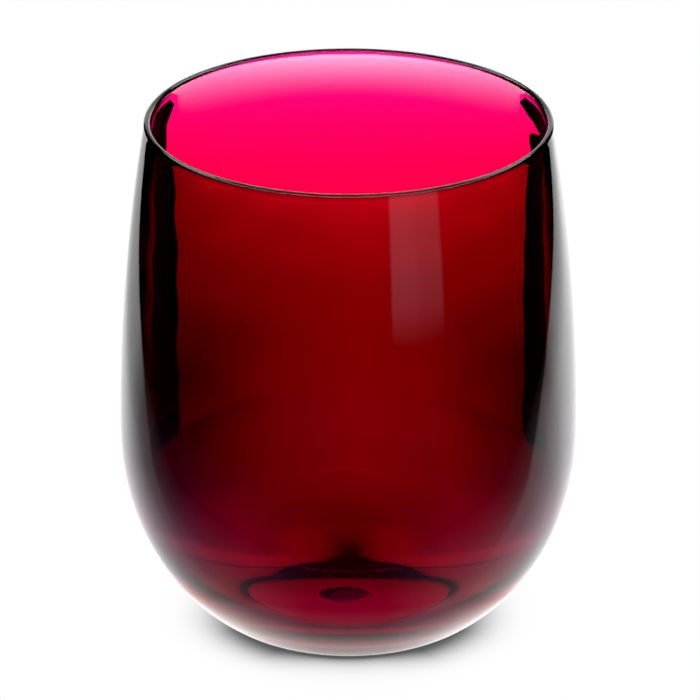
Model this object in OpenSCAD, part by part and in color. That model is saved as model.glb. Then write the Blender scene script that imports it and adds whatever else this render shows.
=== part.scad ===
// Stemless drinking tumbler: one lathe-round moulding of see-through ruby acrylic.
// The axis is Z and the table is z = 0, so the origin is the middle of the standing ring.

/* [Outside] */
// Height from the table to the top of the rim
tumbler_h = 109.6; // [95:0.2:125]
// Outside diameter of the belly, the widest place
belly_d = 95; // [88:0.5:110]
// Height of the belly above the table
belly_z = 44; // [38:0.5:52]
// Outside diameter of the mouth
mouth_d = 83.8; // [74:0.2:92]
// Outside diameter where the bowl's round ends above the standing ring
foot_d = 49.2; // [47.4:0.2:56]
// Fullness of the round below the belly, where 2 is an ellipse
lower_round = 2.3; // [2:0.05:2.7]
// How fast the bowl spreads out from the foot, where 1 is slowest
lower_flare = 1.3; // [1.1:0.05:1.6]
// How late the bowl draws in on its way up to the mouth, where 1 is a straight cone
upper_round = 1.9; // [1.4:0.05:2.6]

/* [Wall] */
// Thickness of the wall at the rim
rim_wall = 1.5; // [1:0.1:2.4]
// Thickness of the wall at the inside's widest place, the thickest of the wall
belly_wall = 3.75; // [2.6:0.05:5]
// How far the inside's widest place lies below the outside's
inside_belly_drop = 12.8; // [9:0.2:16]
// Thickness of the floor over the recess
floor_wall = 2.3; // [1.5:0.1:4]
// How far the flat of the floor ends short of the foot's outside
floor_inset = 1.3; // [0:0.1:4]
// Fullness of the inside's lower corner, where 2 is an ellipse
inside_round = 2; // [1.8:0.05:2.3]
// How fast the inside spreads out from the flat of the floor
inside_flare = 1.13; // [1:0.01:1.3]

/* [Standing ring] */
// How far the ring's flat ends short of the foot's outside
ring_inset = 1.25; // [0.6:0.05:3]
// Width of the ring's flat, which rests on the table
ring_w = 1.3; // [0.6:0.1:2]
// Height of the ring below the end of the bowl's round
ring_h = 0.5; // [0.3:0.05:1]
// Depth of the recess inside the ring
recess_h = 0.9; // [0.7:0.05:1.4]
// How far the recess's side slopes in as it rises
recess_slope = 0.35; // [0.1:0.05:1]

/* [Gate mark] */
// Diameter of the round mark in the middle of the recess
gate_d = 10; // [6:0.5:16]
// How far the mark stands down from the recess
gate_h = 0.45; // [0.2:0.05:0.6]
// How far the mark's side slopes in as it goes down
gate_slope = 0.12; // [0.05:0.01:0.4]

/* [Hidden] */
lathe_fn = 180;
curve_steps = 40;
rim_steps = 16;

belly_r = belly_d / 2;
foot_r = foot_d / 2;
rim_r = rim_wall / 2;
rim_z = tumbler_h - rim_r;
mouth_r = mouth_d / 2;
inside_mouth_r = mouth_r - rim_wall;
inside_belly_r = belly_r - belly_wall;
inside_belly_z = belly_z - inside_belly_drop;
floor_r = foot_r - floor_inset;
floor_z = recess_h + floor_wall;
ring_outer_r = foot_r - ring_inset;
ring_inner_r = ring_outer_r - ring_w;
gate_r = gate_d / 2;

// Share of the way out at a share of the way up: 0 at the foot, 1 and upright at the belly
function spread(share, fullness, flare) = pow(1 - pow(1 - share, fullness), 1 / flare);

// From a foot up to a belly, with points closer together near the foot, where the curve turns most
function lower_curve(r_low, r_belly, z_low, z_belly, fullness, flare) = [
    for (step = [0 : curve_steps])
        let (share = pow(step / curve_steps, 2))
            [r_low + (r_belly - r_low) * spread(share, fullness, flare), z_low + (z_belly - z_low) * share]
];

// From just above a belly up to the rim, upright at the belly and drawing in ever faster
function upper_curve(r_belly, r_top, z_belly, z_top) = [
    for (step = [1 : curve_steps])
        let (share = step / curve_steps)
            [r_belly - (r_belly - r_top) * pow(share, upper_round), z_belly + (z_top - z_belly) * share]
];

// The half-round top of the rim, from outside to inside, without its two ends
function rim_curve() = [
    for (step = [1 : rim_steps - 1])
        let (turn = 180 * step / rim_steps)
            [mouth_r - rim_r + rim_r * cos(turn), rim_z + rim_r * sin(turn)]
];

function backwards(points) = [for (step = [len(points) - 1 : -1 : 0]) points[step]];

// Gate mark, recess and standing ring, from the axis outwards
function underside() = [
    [0, recess_h - gate_h],
    [gate_r - gate_slope, recess_h - gate_h],
    [gate_r, recess_h],
    [ring_inner_r - recess_slope, recess_h],
    [ring_inner_r, 0],
    [ring_outer_r, 0]
];

function outside() = concat(
    lower_curve(foot_r, belly_r, ring_h, belly_z, lower_round, lower_flare),
    upper_curve(belly_r, mouth_r, belly_z, rim_z)
);

function inside() = concat(
    [[0, floor_z]],
    lower_curve(floor_r, inside_belly_r, floor_z, inside_belly_z, inside_round, inside_flare),
    upper_curve(inside_belly_r, inside_mouth_r, inside_belly_z, rim_z)
);

// The whole moulding: bowl, rim, floor and standing ring turned from one section
module tumbler() {
    color([0.62, 0.0, 0.11, 0.6])
        rotate_extrude($fn = lathe_fn)
            polygon(concat(underside(), outside(), rim_curve(), backwards(inside())));
}

tumbler();
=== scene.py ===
# %% [markdown]
# # A see-through ruby tumbler, turned from one line
#
# The real object is a single moulding of dyed acrylic: a round bowl that is widest below its middle,
# draws in a little towards the mouth, and stands on a thin ring under its floor. Nothing is added to it,
# so the whole likeness lies in two things: the run of the wall's thickness, which bends what is seen
# through it, and the studio, which the clear material shows and mirrors.
#
# The CAD part is already true, and comes in as the frame. Its mesh is made of flat facets, and in a clear
# object every facet shows as a streak. So this script turns the same section again as a much finer skin.
#
# The second half of the script is the studio. A see-through object has hardly any look of its own: it shows
# what stands behind it, bent, and what stands round it, mirrored. So the lesson spends as much on the table
# and the cards as on the tumbler.

# %% Load the frame
import math

import bpy
import numpy as np
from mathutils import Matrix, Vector


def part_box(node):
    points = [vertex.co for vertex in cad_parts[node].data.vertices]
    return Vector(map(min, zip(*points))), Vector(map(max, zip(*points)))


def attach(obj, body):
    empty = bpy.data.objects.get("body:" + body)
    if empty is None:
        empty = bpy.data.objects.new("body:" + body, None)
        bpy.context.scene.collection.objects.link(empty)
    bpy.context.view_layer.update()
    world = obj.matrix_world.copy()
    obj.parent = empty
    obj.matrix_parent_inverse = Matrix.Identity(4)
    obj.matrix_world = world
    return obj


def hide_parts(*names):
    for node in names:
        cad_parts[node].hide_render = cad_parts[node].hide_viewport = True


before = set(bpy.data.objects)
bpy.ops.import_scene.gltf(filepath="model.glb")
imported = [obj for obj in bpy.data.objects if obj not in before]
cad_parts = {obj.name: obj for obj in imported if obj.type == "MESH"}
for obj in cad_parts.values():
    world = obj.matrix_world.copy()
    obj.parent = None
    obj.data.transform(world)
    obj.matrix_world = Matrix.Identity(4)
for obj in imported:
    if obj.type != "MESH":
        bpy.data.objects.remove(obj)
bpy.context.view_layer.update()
_, tumbler_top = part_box("tumbler")

# %% [markdown]
# ## Sizes
#
# The height comes from the frame. The other sizes are the ones that the CAD source names, in metres.
# `MM` lets them be read as millimetres.

# %% The tumbler's sizes
MM = 0.001

tumbler_height = tumbler_top[2]
belly_radius = 47.5 * MM
belly_height = 44 * MM
mouth_radius = 41.9 * MM
foot_radius = 24.6 * MM
lower_fullness, lower_flare = 2.3, 1.3
upper_fullness = 1.9

rim_wall = 1.5 * MM
belly_wall = 3.75 * MM
inside_belly_height = 31.2 * MM
inside_floor_height = 3.2 * MM
inside_floor_radius = 23.3 * MM
inside_fullness, inside_flare = 2.0, 1.13

ring_outer_radius = 23.35 * MM
ring_inner_radius = 22.05 * MM
ring_height = 0.5 * MM
recess_height = 0.9 * MM
recess_slope = 0.35 * MM
gate_radius = 5 * MM
gate_relief = 0.45 * MM
gate_slope = 0.12 * MM
moulded_edge = 0.15 * MM

print(f"tumbler {tumbler_height / MM:.1f} mm high, {2 * belly_radius / MM:.1f} mm at the belly")

# %% [markdown]
# ## The section
#
# Half of the tumbler's section is one closed line from the axis, along the underside, up the outside,
# over the rim, down the inside and back to the axis. Blown walls have no straight stretch, so each
# surface is two power curves that meet upright at its widest place: one spreads out from the foot, and
# one draws in to the mouth. A hand-placed spline would need dozens of points and still ripple.


# %% Curves of the section
longest_cut = 0.4


def spreading_curve(start_radius, widest_radius, start_height, widest_height, fullness, flare, steps=72):
    """Out from a foot to a belly: with s the share of the height, the radius has gone out by
    one minus (1 - s) to the power of fullness, and that to the power of one over flare.
    Steps are closer together near the foot, where the line turns most."""
    s = np.linspace(0, 1, steps) ** 2
    out = (1 - (1 - s) ** fullness) ** (1 / flare)
    return np.stack([start_radius + (widest_radius - start_radius) * out,
                     start_height + (widest_height - start_height) * s], axis=1)


def closing_curve(widest_radius, end_radius, widest_height, end_height, fullness, steps=56):
    """In from a belly to a mouth: the radius falls with the share of the height to the power of fullness."""
    s = np.linspace(0, 1, steps)[1:]
    return np.stack([widest_radius - (widest_radius - end_radius) * s ** fullness,
                     widest_height + (end_height - widest_height) * s], axis=1)


def rounded(corners, radius, steps=5):
    """A line through the corners, with each inner corner replaced by a small curve.
    The curve is the quadratic one from a point on the first leg to one on the next, pulled by the corner.
    It takes no more than a share longest_cut of either leg."""
    corners = np.asarray(corners, dtype=float)
    before, corner, after = corners[:-2], corners[1:-1], corners[2:]
    leg_in = before - corner
    leg_out = after - corner
    size_in = np.linalg.norm(leg_in, axis=1, keepdims=True)
    size_out = np.linalg.norm(leg_out, axis=1, keepdims=True)
    cut = np.minimum(radius, longest_cut * np.minimum(size_in, size_out))
    first = corner + leg_in / size_in * cut
    last = corner + leg_out / size_out * cut
    t = np.linspace(0, 1, steps)[None, :, None]
    curve = (1 - t) ** 2 * first[:, None] + 2 * t * (1 - t) * corner[:, None] + t ** 2 * last[:, None]
    return np.concatenate([corners[:1], curve.reshape(-1, 2), corners[-1:]])


# %% The whole section
rim_radius = rim_wall / 2
rim_height = tumbler_height - rim_radius
rim_steps, floor_steps = 16, 7

outside = np.concatenate([
    spreading_curve(foot_radius, belly_radius, ring_height, belly_height, lower_fullness, lower_flare),
    closing_curve(belly_radius, mouth_radius, belly_height, rim_height, upper_fullness)])

turn = np.linspace(0, math.pi, rim_steps + 1)[1:-1]
rim = np.stack([mouth_radius - rim_radius + rim_radius * np.cos(turn),
                rim_height + rim_radius * np.sin(turn)], axis=1)

inside = np.concatenate([
    spreading_curve(inside_floor_radius, belly_radius - belly_wall, inside_floor_height,
                    inside_belly_height, inside_fullness, inside_flare),
    closing_curve(belly_radius - belly_wall, mouth_radius - rim_wall, inside_belly_height,
                  rim_height, upper_fullness)])

underside = rounded([
    [0, recess_height - gate_relief],
    [gate_radius - gate_slope, recess_height - gate_relief],
    [gate_radius, recess_height],
    [ring_inner_radius - recess_slope, recess_height],
    [ring_inner_radius, 0],
    [ring_outer_radius, 0],
    outside[0]], moulded_edge)[:-1]

floor_line = np.stack([np.linspace(inside_floor_radius, 0, floor_steps + 1)[1:],
                       np.full(floor_steps, inside_floor_height)], axis=1)
section = np.concatenate([underside, outside, rim, inside[::-1], floor_line])
print(f"section of {len(section)} points, wall at the belly {belly_wall / MM:.2f} mm")

# %% [markdown]
# ## Ripples of the inner wall
#
# A blown inner wall cools last and is never quite even. On the real tumbler that shows where the dark side
# bands end: their inner edges waver. A bump map could shade such ripples but not bend what is seen through
# them in the same way from both sides, so they are cut into the mesh, only hundredths of a millimetre deep.


# %% A slightly uneven inner wall
ripple_depth = 0.014 * MM
ripple_length = 13 * MM
ripple_from, ripple_full, ripple_end = 48 * MM, 66 * MM, 8 * MM
slow_waves = [(1.4, 3, 0.6), (0.9, 5, 2.1)]


def ripple(height, angle):
    """Radius added to the inside at a height and angle: a wave up the wall that is pushed up and down by
    slow waves round it, each with its size, its number of times round and its start, times a share that
    fades to nothing towards the belly and over the last ripple_end below the rim."""
    pushed = sum(size * np.sin(times_round * angle + start) for size, times_round, start in slow_waves)
    wave = np.sin(2 * math.pi * height / ripple_length + pushed)
    below = np.clip((height - ripple_from) / (ripple_full - ripple_from), 0, 1)
    above = np.clip((rim_height - height) / ripple_end, 0, 1)
    return ripple_depth * wave * below * above


heights = np.linspace(inside_floor_height, rim_height, 200)
print(f"deepest ripple on one line up the wall {np.abs(ripple(heights, 0.0)).max() / MM:.3f} mm")

# %% [markdown]
# ## Turning the skin
#
# A lathe shape is a function of two parameters: how far along the section, and how far round. numpy
# makes the whole grid in one step. The two points on the axis are single vertices, closed with
# triangles, so the skin is watertight and its faces point outwards.


# %% Turn a section round Z
def turned(name, line, inner, round_steps):
    """Every point (r, z) of the line goes to (r cos a, r sin a, z) for each angle a round the axis,
    and where inner is 1 the ripple at (z, a) is added to r.
    The line starts and ends on the axis, and runs so that the solid lies on its left."""
    a = np.arange(round_steps) * (2 * math.pi / round_steps)
    body = line[1:-1]
    height = np.repeat(body[:, 1, None], round_steps, axis=1)
    radius = body[:, 0, None] + inner[1:-1, None] * ripple(height, a[None, :])
    grid = np.stack([radius * np.cos(a), radius * np.sin(a), height], axis=-1)
    poles = [[0, 0, line[0, 1]], [0, 0, line[-1, 1]]]
    points = np.concatenate([poles, grid.reshape(-1, 3)])
    index = 2 + np.arange(len(body) * round_steps).reshape(len(body), round_steps)
    beside = np.roll(index, -1, axis=1)
    quads = np.stack([index[:-1], beside[:-1], beside[1:], index[1:]], axis=-1).reshape(-1, 4)
    bottom = np.stack([np.zeros(round_steps, int), beside[0], index[0]], axis=-1)
    top = np.stack([np.ones(round_steps, int), index[-1], beside[-1]], axis=-1)
    mesh = bpy.data.meshes.new(name)
    mesh.from_pydata(points.tolist(), [], quads.tolist() + bottom.tolist() + top.tolist())
    mesh.polygons.foreach_set("use_smooth", np.ones(len(mesh.polygons), dtype=bool))
    mesh.update()
    piece = bpy.data.objects.new(name, mesh)
    bpy.context.scene.collection.objects.link(piece)
    return piece


# %% The tumbler's skin
is_inside = np.zeros(len(section))
is_inside[len(underside) + len(outside) + len(rim):-len(floor_line)] = 1

tumbler_skin = turned("tumbler_skin", section, is_inside, round_steps=300)
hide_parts("tumbler")
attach(tumbler_skin, "root")
print(f"skin of {len(tumbler_skin.data.polygons)} faces")

# %% [markdown]
# ## Sums with nodes
#
# The material's marks and the studio's light are curves of place, such as a brightness that fades with the
# distance from the axis. Blender writes such sums as Math nodes, and dozens of them by hand are unreadable.
# This helper writes them, so that the code below can be read as the sums that it means.


# %% A writer of sums
class Sums:
    """Writes sums as nodes into one node tree. Places are in millimetres."""

    def __init__(self, tree):
        self.nodes, self.links = tree.nodes, tree.links

    def do(self, operation, *values):
        """One Math node. A value is a number or another node's output."""
        node = self.nodes.new("ShaderNodeMath")
        node.operation = operation
        for socket, value in zip(node.inputs, values):
            if isinstance(value, (int, float)):
                socket.default_value = value
            else:
                self.links.new(value, socket)
        return node.outputs[0]

    def times(self, first, *others):
        """The product of two or more values."""
        for other in others:
            first = self.do("MULTIPLY", first, other)
        return first

    def minus(self, value, taken):
        """What is left of a value when the other is taken from it."""
        return self.do("SUBTRACT", value, taken)

    def place(self):
        """X, Y and Z of the object's own coordinates, in millimetres."""
        coordinates = self.nodes.new("ShaderNodeTexCoord")
        parts = self.nodes.new("ShaderNodeSeparateXYZ")
        self.links.new(coordinates.outputs["Object"], parts.inputs[0])
        return [self.do("DIVIDE", parts.outputs[axis], MM) for axis in "XYZ"]

    def distance(self, x, y):
        """How far (x, y) lies from the middle: the root of x squared plus y squared."""
        return self.do("SQRT", self.do("ADD", self.times(x, x), self.times(y, y)))

    def rise(self, value, start, end):
        """0 up to start, 1 from end, and a straight rise between."""
        share = self.do("DIVIDE", self.minus(value, start), end - start)
        return self.do("MINIMUM", self.do("MAXIMUM", share, 0.0), 1.0)

    def bell(self, value, width, power):
        """1 where value is 0, falling as e to the power of minus (value over width) to the given power."""
        share = self.do("POWER", self.do("DIVIDE", value, width), power)
        return self.do("EXPONENT", self.times(-1.0, share))

    def between(self, share, low, high):
        """low where share is 0, high where share is 1."""
        return self.do("ADD", low, self.times(share, self.minus(high, low)))

    def curve(self, value, stops):
        """Straight lines through the stops (value, result), level beyond the first and the last."""
        first, last, top = stops[0][0], stops[-1][0], max(result for _, result in stops)
        ramp = self.nodes.new("ShaderNodeValToRGB")
        self.links.new(self.rise(value, first, last), ramp.inputs[0])
        elements = ramp.color_ramp.elements
        elements.remove(elements[-1])
        for number, (place, result) in enumerate(stops):
            share = (place - first) / (last - first)
            element = elements[0] if number == 0 else elements.new(share)
            element.position = share
            element.color = (result / top, result / top, result / top, 1)
        return self.times(ramp.outputs[0], top)

    def glow(self, strength, colour=(1, 1, 1)):
        """Light given off, of one colour and a strength that may vary."""
        emission = self.nodes.new("ShaderNodeEmission")
        emission.inputs["Color"].default_value = (*colour, 1)
        if isinstance(strength, (int, float)):
            emission.inputs["Strength"].default_value = strength
        else:
            self.links.new(strength, emission.inputs["Strength"])
        return emission.outputs[0]

    def both(self, first, second):
        """The two shaders' light together."""
        together = self.nodes.new("ShaderNodeAddShader")
        for socket, value in zip(together.inputs, (first, second)):
            self.links.new(value, socket)
        return together.outputs[0]

    def either(self, share, first, second):
        """The first shader where share is 0, the second where it is 1."""
        mix = self.nodes.new("ShaderNodeMixShader")
        for socket, value in zip(mix.inputs, (share, first, second)):
            self.links.new(value, socket)
        return mix.outputs[0]


def empty_material(name):
    """A material with only its output, and a writer of sums for it."""
    material = bpy.data.materials.new(name)
    material.use_nodes = True
    sums = Sums(material.node_tree)
    sums.nodes.clear()
    output = sums.nodes.new("ShaderNodeOutputMaterial")
    return material, sums, output


print("sums ready")

# %% [markdown]
# ## Ruby acrylic
#
# The dye is in the plastic, not on it: the colour deepens with the thickness that light crosses. So the
# surface is clear and white, with acrylic's refractive index, and all colour comes from absorption
# inside. What is left of a colour after a distance t is e to the power of minus t times its absorption.
# One wall lets blue through and reads as magenta, as the mouth does, and two walls read as deep red. A
# painted red surface would look the same through one wall as through two.
#
# The polish isn't perfect. Moulding leaves a faint orange-peel, far too shallow to see except where it
# makes a mirrored edge waver, so it is a bump of a few thousandths of a millimetre. The gate mark, where
# the plastic came in, was cut and is matt, and the ring's flat is scuffed by tables.

# %% The dyed, see-through material
dye_per_mm = np.array([0.03, 3.0, 0.85])
acrylic_index = 1.49
peel_length = 12
peel_depth = 0.012
gate_matt, gate_blur = 0.06, 0.1
ring_scuff, scuff_full, scuff_end = 0.008, 0.02, 0.06


def ruby_acrylic():
    """Clear polished plastic with the dye in its volume, matt on the gate mark and scuffed on the ring."""
    material = bpy.data.materials.new("ruby_acrylic")
    material.use_nodes = True
    sums = Sums(material.node_tree)
    surface = sums.nodes["Principled BSDF"]
    surface.inputs["Base Color"].default_value = (1, 1, 1, 1)
    surface.inputs["IOR"].default_value = acrylic_index
    surface.inputs["Transmission Weight"].default_value = 1

    x, y, z = sums.place()
    from_axis = sums.distance(x, y)
    gate_edge, gate_top = gate_radius / MM, recess_height / MM
    on_gate = sums.times(sums.rise(from_axis, gate_edge + gate_blur, gate_edge - gate_blur),
                         sums.rise(z, gate_top + gate_blur, gate_top - gate_blur))
    on_ring = sums.rise(z, scuff_end, scuff_full)
    roughness = sums.do("MAXIMUM", sums.times(on_gate, gate_matt), sums.times(on_ring, ring_scuff))
    sums.links.new(roughness, surface.inputs["Roughness"])

    coordinates = sums.nodes.new("ShaderNodeTexCoord")
    peel = sums.nodes.new("ShaderNodeTexNoise")
    peel.inputs["Scale"].default_value = 1 / (peel_length * MM)
    peel.inputs["Detail"].default_value = 1
    bump = sums.nodes.new("ShaderNodeBump")
    bump.inputs["Distance"].default_value = peel_depth * MM
    sums.links.new(coordinates.outputs["Object"], peel.inputs["Vector"])
    sums.links.new(peel.outputs["Fac"], bump.inputs["Height"])
    sums.links.new(bump.outputs["Normal"], surface.inputs["Normal"])

    dye = sums.nodes.new("ShaderNodeVolumeAbsorption")
    strongest = dye_per_mm.max()
    dye.inputs["Color"].default_value = (*(1 - dye_per_mm / strongest), 1)
    dye.inputs["Density"].default_value = strongest / MM
    sums.links.new(dye.outputs["Volume"], sums.nodes["Material Output"].inputs["Volume"])
    return material


tumbler_skin.data.materials.append(ruby_acrylic())
print("share of red, green and blue left by 3 mm:", np.exp(-3 * dye_per_mm).round(3).tolist())

# %% [markdown]
# ## Camera
#
# The photograph looks down by 23 degrees from a metre and a half away.

# %% The photograph's view
camera_distance = 1500 * MM
camera_elevation = math.radians(23.11)
focal_pixels = 7252.6
frame_pixels = 700
axis_pixel_x = 348.8
axis_pixel_y = 366.8

camera_data = bpy.data.cameras.new("photograph_view")
camera_data.sensor_width = 36
camera_data.lens = camera_data.sensor_width * focal_pixels / frame_pixels
camera_data.shift_x = 0.5 - axis_pixel_x / frame_pixels
camera_data.shift_y = axis_pixel_y / frame_pixels - 0.5
camera_data.clip_start = 0.01
camera = bpy.data.objects.new("photograph_view", camera_data)
bpy.context.scene.collection.objects.link(camera)
bpy.context.scene.camera = camera
aim = Vector((0, 0, tumbler_height / 2))
camera.location = aim + camera_distance * Vector((0, -math.cos(camera_elevation), math.sin(camera_elevation)))
camera.rotation_euler = (aim - camera.location).to_track_quat("-Z", "Y").to_euler()
print("camera at", [round(value, 3) for value in camera.location])

# %% [markdown]
# ## Studio
#
# A clear tumbler is photographed on a glowing white table, with more white standing behind it and black
# cards at its sides. The white fills the walls with colour, the black draws their edges, and each would
# be lost without the other. Lamps alone, aimed at the tumbler, would only put spots on it.
#
# The table and the cards stay the same for every camera. What differs is which rays see them: Light Path
# tells a ray that came straight from the camera from one that was bent through the tumbler and from one
# that was mirrored by it. So the background can be plain white, while the tumbler shows a table whose
# light fades towards the camera, as a real table's does in the shade of the tumbler that stands on it.


# %% Cards
def card(name, corners, material, faces=None, mirrored=True, through=True):
    """A flat or bent card given by its corners in millimetres. The camera doesn't see it, and it lights
    and shades nothing: it is there only to be mirrored, to be seen through the tumbler, or both."""
    mesh = bpy.data.meshes.new(name)
    mesh.from_pydata((np.asarray(corners, dtype=float) * MM).tolist(), [],
                     faces or [tuple(range(len(corners)))])
    mesh.materials.append(material)
    piece = bpy.data.objects.new(name, mesh)
    bpy.context.scene.collection.objects.link(piece)
    piece.visible_camera = piece.visible_diffuse = piece.visible_shadow = False
    piece.visible_glossy = mirrored
    piece.visible_transmission = through
    return piece


print("cards ready")

# %% [markdown]
# ## Table
#
# The table is one flat square just under the ring. Its material has three faces.
#
# To the camera it is white, with a contact shadow close to the foot. Ambient Occlusion could measure one, but
# under a bowl that overhangs its foot it comes out far too broad. So the shadow is a curve of the distance from
# the foot: short in front, longer at the sides and weaker behind.
#
# Through the tumbler it is bright far behind, dimmer near the tumbler and darkest in the ring's own shade,
# which reaches back as a short tongue. That shade is coloured light that went through the walls first.
# Tracing it would need caustics and hours, so its brightness is written here as a few curves. A ray that was
# mirrored inside the bowl on its way sees all but the table round the foot much dimmer.
#
# Mirrored by the tumbler it is a broad round pool of light, which gives the sides their pale edge. Round the
# foot it is brighter, and there it also has the light that came down through one wall, ruby, or two, red.

# %% The table's light
# Places are in millimetres, and turns are in degrees from straight behind. A curve is a list of places or
# turns, each with its brightness, and a pair is where a change starts and where it is complete.
shadow_radius, shadow_strength = 25, 0.9
shadow_front, shadow_side, shadow_side_power = 3.2, 6, 1.8
shadow_side_to_front = (145, 168)
shadow_round = [(90, 0.6), (116, 1.0)]

bright_along = [(-4, 0.31), (12, 0.21), (28, 0.2), (36, 0.28), (45, 0.28), (63, 0.245),
                (97, 0.29), (142, 0.29), (163, 0.34), (180, 0.46), (192, 0.62), (226, 1.55)]
bright_across_near = [(-48, 0.12), (-36, 0.6), (-24, 0.93), (24, 1.03), (36, 0.95), (48, 0.18)]
bright_across_middle = [(-70, 0.06), (-42, 0.15), (-30, 0.37), (-18, 0.68),
                        (3, 1.0), (24, 0.8), (36, 0.43), (60, 0.15)]
bright_across_far = [(-70, 0.55), (-48, 0.62), (-24, 0.78), (5, 1.0), (35, 0.83)]
near_to_middle, middle_to_far, far_to_even = (45, 62), (122, 162), (195, 225)
bright_dip = [(45, 0.0), (48, 1.0), (52, 0.85), (63, 0.0)]
dip_middle, dip_sides, dip_widening = 0.6, 0.9, (16, 34)
bright_beside = [(0, 0.3), (23.5, 0.25), (25, 0.04), (28, 0.06),
                 (34, 0.22), (60, 0.25), (120, 0.35), (250, 0.5)]
behind_to_beside = (100, 130)
inside_mirroring, inside_mirroring_from = 0.1, (40, 60)

ring_shade_radius, ring_shade_end = 24, (100, 120)
ring_tongue, ring_tongue_angle, ring_tongue_power = 18, 26, 2.4
ring_brim, ring_brim_angle, ring_brim_power = 3, 58, 2.0
ring_shade_edge = [(-0.3, 0.04), (0.3, 0.4), (2, 0.75), (6, 1.0)]
recess_bright = (22, 21.5)
back_line, back_line_dark, back_line_edge, back_line_end = 27.5, 0.3, (0.5, 1.2), (32, 38)
back_line_rise, back_line_width, back_line_power = 9, 19.5, 3.0
gate_narrowing = 1.35
gate_shade_x, gate_shade_y, gate_shade_edge, gate_shade_dark = -1, 4.4, (6.6, 7.2), 0.05
gate_disc_x, gate_disc_y, gate_disc_edge, gate_disc_dark = 0.6, 2.8, (5.4, 6), 0.24

pool_x, pool_y, pool_front_to_sides = 20, 190, (60, 120)
pool_front = [(160, 1.0), (182, 0.76), (210, 0.46), (226, 0.34), (231, 0.04), (238, 0.0)]
pool_sides = [(228, 1.0), (235, 0.0)]
pool_across = [(-207, 1.0), (-150, 0.92), (-90, 1.35), (-50, 1.25),
               (70, 1.8), (165, 1.95), (205, 1.35), (250, 0.9)]
front_x, front_y, front_sides = 17, 132, (12, 40)
front_fade = [(131, 1.45), (150, 1.08), (163, 0.72), (173, 0.4), (188, 0.15), (200, 0.07), (215, 0.0)]
foot_light_front = [(24, 0.85), (27, 1.0), (30, 1.38), (33, 1.0), (36, 0.54), (39, 0.3), (42, 0.15), (47, 0.0)]
foot_light_beside = [(24, 1.2), (30, 1.95), (33, 1.75), (36, 1.4), (39, 1.0), (45, 0.5), (50, 0.0)]
foot_beside_to_front = (128, 165)
ruby_light = [(46, 0.0), (64, 0.24), (75, 0.24), (100, 0.15), (180, 0.0)]
ruby_light_round = [(80, 0.5), (110, 1.0), (135, 1.0), (155, 0.4), (175, 0.0)]
ruby_light_front = [(33, 0.0), (38, 0.14), (44, 0.22), (52, 0.17), (57, 0.08), (64, 0.06), (68, 0.0)]
ruby_front_start = (120, 150)
red_light = [(28, 0.0), (31, 0.25), (35, 0.45), (39, 0.8), (42, 0.45), (45, 0.12), (48, 0.0)]
red_light_round = [(90, 0.6), (110, 1.0), (150, 1.0), (180, 0.5)]
print("the pool of light is", 2 * pool_sides[0][0], "mm wide")


# %% Brightness seen through the tumbler
def brightness_behind(sums, x, y, from_axis, turn):
    """Brightness along y, times a share across that widens from near to far, times a faint dip. At the
    sides and in front it is the brightness at the distance from the axis instead."""
    across = sums.between(sums.rise(y, *near_to_middle),
                          sums.curve(x, bright_across_near), sums.curve(x, bright_across_middle))
    across = sums.between(sums.rise(y, *middle_to_far), across, sums.curve(x, bright_across_far))
    across = sums.between(sums.rise(y, *far_to_even), across, 1.0)
    depth = sums.between(sums.rise(sums.do("ABSOLUTE", x), *dip_widening), dip_middle, dip_sides)
    dip = sums.between(sums.curve(y, bright_dip), 1.0, depth)
    light = sums.times(sums.curve(y, bright_along), across, dip)
    return sums.between(sums.rise(turn, *behind_to_beside), light, sums.curve(from_axis, bright_beside))


# %% Shades seen through the tumbler
def shade_of_ring(sums, from_axis, turn):
    """Dark up to an edge whose radius is the ring's, plus a tall narrow bell of the turn for the tongue and
    a low wide one for its brim. The recess inside the ring stays bright, and so do the sides."""
    tongue = sums.times(ring_tongue, sums.bell(turn, ring_tongue_angle, ring_tongue_power))
    brim = sums.times(ring_brim, sums.bell(turn, ring_brim_angle, ring_brim_power))
    edge = sums.do("ADD", ring_shade_radius, sums.do("ADD", tongue, brim))
    shade = sums.curve(sums.minus(from_axis, edge), ring_shade_edge)
    bright = sums.do("MAXIMUM", sums.rise(from_axis, *recess_bright), sums.rise(turn, *ring_shade_end))
    return sums.do("MAXIMUM", shade, bright)


def shade_of_back_line(sums, x, y):
    """A thin dark line across, straight at the sides and raised behind the ring by a bell of x."""
    beside = sums.do("ABSOLUTE", x)
    raised = sums.times(sums.bell(beside, back_line_width, back_line_power), back_line_rise)
    off_line = sums.do("ABSOLUTE", sums.minus(sums.minus(y, back_line), raised))
    line = sums.between(sums.rise(off_line, *back_line_edge), back_line_dark, 1.0)
    return sums.do("MAXIMUM", line, sums.rise(beside, *back_line_end))


def shade_of_gate(sums, x, y):
    """A dark disc with a less dark one over it, set off to one side, which leaves a dark crescent."""
    def off_disc(disc_x, disc_y):
        return sums.distance(sums.times(sums.minus(x, disc_x), gate_narrowing), sums.minus(y, disc_y))

    gate = sums.between(sums.rise(off_disc(gate_disc_x, gate_disc_y), *gate_disc_edge),
                        gate_disc_dark, gate_shade_dark)
    return sums.between(sums.rise(off_disc(gate_shade_x, gate_shade_y), *gate_shade_edge), gate, 1.0)


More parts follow.
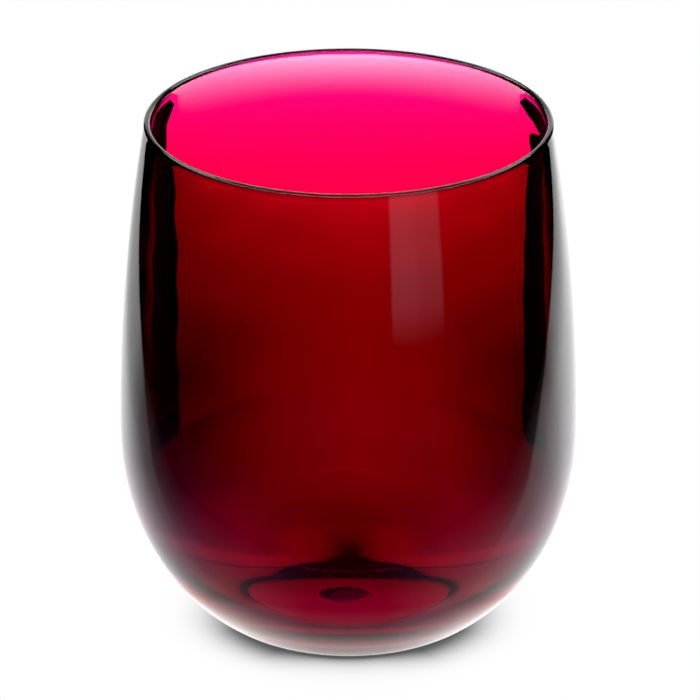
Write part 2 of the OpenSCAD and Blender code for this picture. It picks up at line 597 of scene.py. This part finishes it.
# %% Light mirrored by the tumbler
def light_mirrored(sums, x, y, from_axis, turn):
    """White is the brightest of three: a long round-ended pool, its own front, and the light round the
    foot. Ruby and red are what came down through one wall and through two."""
    in_pool = sums.distance(sums.minus(x, pool_x), sums.do("MINIMUM", sums.minus(y, pool_y), 0.0))
    pool = sums.between(sums.rise(y, *pool_front_to_sides),
                        sums.curve(in_pool, pool_front), sums.curve(in_pool, pool_sides))
    pool = sums.times(pool, sums.curve(x, pool_across))
    in_front = sums.distance(sums.minus(x, front_x), sums.minus(y, front_y))
    front = sums.times(sums.curve(in_front, front_fade), sums.rise(sums.do("ABSOLUTE", x), *front_sides))
    at_foot = sums.between(sums.rise(turn, *foot_beside_to_front),
                           sums.curve(from_axis, foot_light_beside), sums.curve(from_axis, foot_light_front))
    white = sums.do("MAXIMUM", sums.do("MAXIMUM", pool, front), at_foot)

    ruby_beside = sums.times(sums.curve(from_axis, ruby_light), sums.curve(turn, ruby_light_round))
    ruby_front = sums.times(sums.curve(from_axis, ruby_light_front), sums.rise(turn, *ruby_front_start))
    ruby = sums.do("MAXIMUM", ruby_beside, ruby_front)
    red = sums.times(sums.curve(from_axis, red_light), sums.curve(turn, red_light_round))
    return white, ruby, red


# %% Contact shadow
def contact_shadow(sums, from_axis, turn):
    """Darkness beside the foot. In front it falls off as e to the power of minus the distance over a short
    length. At the sides, which get less light, it holds on for longer and then falls faster."""
    off_foot = sums.do("MAXIMUM", sums.minus(from_axis, shadow_radius), 0.0)
    front = sums.do("DIVIDE", off_foot, shadow_front)
    side = sums.do("POWER", sums.do("DIVIDE", off_foot, shadow_side), shadow_side_power)
    fall = sums.between(sums.rise(turn, *shadow_side_to_front), side, front)
    strength = sums.times(sums.curve(turn, shadow_round), shadow_strength)
    return sums.times(strength, sums.do("EXPONENT", sums.times(-1.0, fall)))


# %% The table
def table_material():
    """One light for each kind of ray: straight from the camera, through the tumbler, or mirrored by it."""
    material, sums, output = empty_material("white_table")
    x, y, _ = sums.place()
    from_axis = sums.distance(x, y)
    turn = sums.do("ABSOLUTE", sums.times(sums.do("ARCTAN2", x, y), 180 / math.pi))
    path = sums.nodes.new("ShaderNodeLightPath")

    plain = sums.glow(sums.minus(1.0, contact_shadow(sums, from_axis, turn)))

    white, ruby, red = light_mirrored(sums, x, y, from_axis, turn)
    coloured = sums.both(sums.glow(ruby, colour=(1, 0, 1)), sums.glow(red, colour=(1, 0, 0)))
    mirrored = sums.both(sums.glow(white), coloured)

    seen = sums.times(brightness_behind(sums, x, y, from_axis, turn), shade_of_ring(sums, from_axis, turn),
                      shade_of_back_line(sums, x, y), shade_of_gate(sums, x, y))
    mirrored_inside = sums.times(sums.do("MINIMUM", path.outputs["Glossy Depth"], 1.0),
                                 sums.rise(from_axis, *inside_mirroring_from))
    through = sums.glow(sums.times(seen, sums.between(mirrored_inside, 1.0, inside_mirroring)))

    in_tumbler = sums.either(path.outputs["Is Transmission Ray"], mirrored, through)
    straight = sums.do("MAXIMUM", path.outputs["Is Camera Ray"], path.outputs["Is Diffuse Ray"])
    sums.links.new(sums.either(straight, in_tumbler, plain), output.inputs["Surface"])
    return material


table_half, table_drop = 3000, 0.02
table_corners = [(-table_half, -table_half), (table_half, -table_half),
                 (table_half, table_half), (-table_half, table_half)]
table = card("white_table", [(*corner, -table_drop) for corner in table_corners], table_material())
table.visible_camera = table.visible_diffuse = table.visible_shadow = True
print("table", 2 * table_half / 1000, "m wide, nodes:", len(table.data.materials[0].node_tree.nodes))

# %% [markdown]
# ## White behind, black beside
#
# The white backdrop stands on the table behind the tumbler and fades out upwards. It shows only as a mirror
# image, in the rim and the upper sides. The black cards stand nearer, to the left and right, and show only
# through the tumbler, as its dark side bands. Broad cards would turn half of the tumbler black when the camera
# goes round, so they are no wider than the bands need. Their upper corners lean in, which puts the dark ends
# into the mouth.

# %% Backdrop and side cards
backdrop_y, backdrop_height, backdrop_half = 400, 400, 228
backdrop_fade = [(0, 1.0), (200, 1.0), (400, 0.0)]
backdrop_left, backdrop_right = pool_x - backdrop_half, pool_x + backdrop_half

backdrop_material, sums, output = empty_material("white_backdrop")
x, _, z = sums.place()
backdrop_light = sums.times(sums.curve(x, pool_across), sums.curve(z, backdrop_fade))
sums.links.new(sums.glow(backdrop_light), output.inputs["Surface"])
card("white_backdrop", [(backdrop_left, backdrop_y, 0), (backdrop_right, backdrop_y, 0),
                        (backdrop_right, backdrop_y, backdrop_height),
                        (backdrop_left, backdrop_y, backdrop_height)],
     backdrop_material, through=False)

black_y, black_height, black_outer = 115, 66, 80
black_inner_edges = {
    "black_card_left": [(-54.5, 0), (-54.5, 42), (-44.8, 53), (-41.8, 58), (-39.5, 62), (-44, black_height)],
    "black_card_right": [(57, 0), (57, 42), (45.2, 53), (41.5, 58), (38.5, 62.5), (44, black_height)]}

black_material, sums, output = empty_material("black_card")
sums.links.new(sums.glow(0.0), output.inputs["Surface"])
for name, inner_edge in black_inner_edges.items():
    outer = math.copysign(black_outer, inner_edge[0][0])
    outline = [(outer, 0), *inner_edge, (outer, black_height)]
    card(name, [(across, black_y, up) for across, up in outline], black_material, mirrored=False)
    print(name, "from", inner_edge[0][0], "to", outer, "mm")

# %% [markdown]
# ## The pale veil under the rear rim
#
# In the mouth, the inside of the rear wall mirrors something bright at a flat angle, which lays a pale
# veil over the magenta that follows the rim. What it is in the real studio isn't known. Here it is a short
# bent card of light inside the mouth, where a mirrored ray comes out. It shows only as a mirror image and
# only from its front. It is light and no part of the tumbler, so it is staged.

# %% Veil card
veil_low, veil_high, veil_up_power = 95.6, 106.8, 2.0
veil_radius, veil_half_angle, veil_ends_power = 36, 62, 1.8
veil_strength, veil_steps = 13.5, 60

veil_material, sums, output = empty_material("veil_card")
x, y, z = sums.place()
veil_turn = sums.do("DIVIDE", sums.times(sums.do("ARCTAN2", x, y), 180 / math.pi), veil_half_angle)
veil_up = sums.do("POWER", sums.rise(z, veil_low, veil_high), veil_up_power)
veil_ends = sums.do("MAXIMUM", sums.minus(1.0, sums.times(veil_turn, veil_turn)), 0.0)
veil_ends = sums.do("POWER", veil_ends, veil_ends_power)
veil_glow = sums.glow(sums.times(veil_up, veil_ends, veil_strength))
face = sums.nodes.new("ShaderNodeNewGeometry")
clear = sums.nodes.new("ShaderNodeBsdfTransparent")
sums.links.new(sums.either(face.outputs["Backfacing"], veil_glow, clear.outputs[0]), output.inputs["Surface"])

angles = np.radians(np.linspace(-veil_half_angle, veil_half_angle, veil_steps + 1))
veil_line = np.stack([veil_radius * np.sin(angles), veil_radius * np.cos(angles)], axis=1)
veil_corners = np.concatenate([np.column_stack([veil_line, np.full(len(angles), up)])
                               for up in (veil_low, veil_high)])
below = np.arange(veil_steps)
above = below + len(angles)
veil_faces = np.stack([below + 1, below, above, above + 1], axis=1).tolist()
card("veil_card", veil_corners, veil_material, faces=veil_faces, through=False)
print("veil card", round(veil_high - veil_low, 1), "mm high")

# %% [markdown]
# ## Window of light
#
# One tall soft lamp stands to the right of the camera and is mirrored on the front wall as a pale upright
# window. An area lamp would also light the table, which is already white, so this one is a card too. Its
# brightness is written on its own UV map: crisp at the sides and fading out at the bottom.

# %% Soft lamp
lamp_turn, lamp_away, lamp_aside, lamp_width = math.radians(145), 200, 12, 92
lamp_bottom, lamp_top = 42, 130
lamp_across = [(0, 0.0), (0.05, 1.0), (0.45, 1.0), (0.55, 0.8), (0.93, 0.75), (1, 0.0)]
lamp_up = [(0, 0.0), (0.1, 0.33), (0.18, 0.6), (0.3, 0.72), (1, 0.8)]

lamp_material, sums, output = empty_material("soft_lamp")
map_place = sums.nodes.new("ShaderNodeTexCoord")
map_parts = sums.nodes.new("ShaderNodeSeparateXYZ")
sums.links.new(map_place.outputs["UV"], map_parts.inputs[0])
lamp_light = sums.times(sums.curve(map_parts.outputs["X"], lamp_across),
                        sums.curve(map_parts.outputs["Y"], lamp_up))
sums.links.new(sums.glow(lamp_light, colour=(1, 0.75, 1)), output.inputs["Surface"])

away = np.array([math.sin(lamp_turn), math.cos(lamp_turn)])
aside = np.array([math.cos(lamp_turn), -math.sin(lamp_turn)])
left = away * lamp_away + aside * (lamp_aside + lamp_width / 2)
right = away * lamp_away + aside * (lamp_aside - lamp_width / 2)
lamp = card("soft_lamp", [(*left, lamp_bottom), (*right, lamp_bottom), (*right, lamp_top), (*left, lamp_top)],
            lamp_material, through=False)
lamp_map = lamp.data.uv_layers.new(name="UVMap")
lamp_map.data.foreach_set("uv", [0.0, 0.0, 1.0, 0.0, 1.0, 1.0, 0.0, 1.0])
print("soft lamp", lamp_width, "mm wide at", lamp_away, "mm from the axis")

# %% [markdown]
# ## The room
#
# The world is plain white at a strength of 1 for the camera. The tumbler sees a darker room: a pale slope of
# ceiling, a dim half in front, and nothing behind, where the table and the backdrop give the light. A white
# room all round would lay its mirror image over the floor of the bowl.

# %% World
front_through, ceiling_through, ceiling_mirrored = 0.05, 0.05, 3.0
ceiling_low, ceiling_high, ceiling_blur = 0.5, 0.8, 0.06
front_half_edge = (0.3, -0.1)

room = bpy.data.worlds.new("room")
bpy.context.scene.world = room
room.use_nodes = True
sums = Sums(room.node_tree)
room_light = sums.nodes["Background"]
room_light.inputs["Color"].default_value = (1, 1, 1, 1)
direction = sums.nodes.new("ShaderNodeTexCoord")
direction_parts = sums.nodes.new("ShaderNodeSeparateXYZ")
sums.links.new(direction.outputs["Generated"], direction_parts.inputs[0])
upward = direction_parts.outputs["Z"]
ceiling = sums.times(sums.rise(upward, ceiling_low, ceiling_low + ceiling_blur),
                     sums.rise(upward, ceiling_high, ceiling_high - ceiling_blur))
front_half = sums.rise(direction_parts.outputs["Y"], *front_half_edge)
path = sums.nodes.new("ShaderNodeLightPath")
straight = sums.do("MAXIMUM", path.outputs["Is Camera Ray"], path.outputs["Is Diffuse Ray"])
through = sums.do("MAXIMUM", sums.times(ceiling, ceiling_through), sums.times(front_half, front_through))
mirrored = sums.times(ceiling, ceiling_mirrored)
bent = sums.between(path.outputs["Is Transmission Ray"], mirrored, through)
sums.links.new(sums.between(straight, bent, 1.0), room_light.inputs["Strength"])
bpy.context.scene.view_settings.view_transform = "Standard"
print("ceiling seen through the tumbler:", ceiling_through)

# %% [markdown]
# ## Light inside the wall
#
# In the thick foot a ray turns back and forth many times before it leaves. Cycles stops a ray after four
# mirrorings, which leaves the foot black, so it may take more.

# %% Turns of a ray
bpy.context.scene.cycles.glossy_bounces = 16
bpy.context.scene.cycles.max_bounces = 20
print("turns inside the wall:", bpy.context.scene.cycles.glossy_bounces)
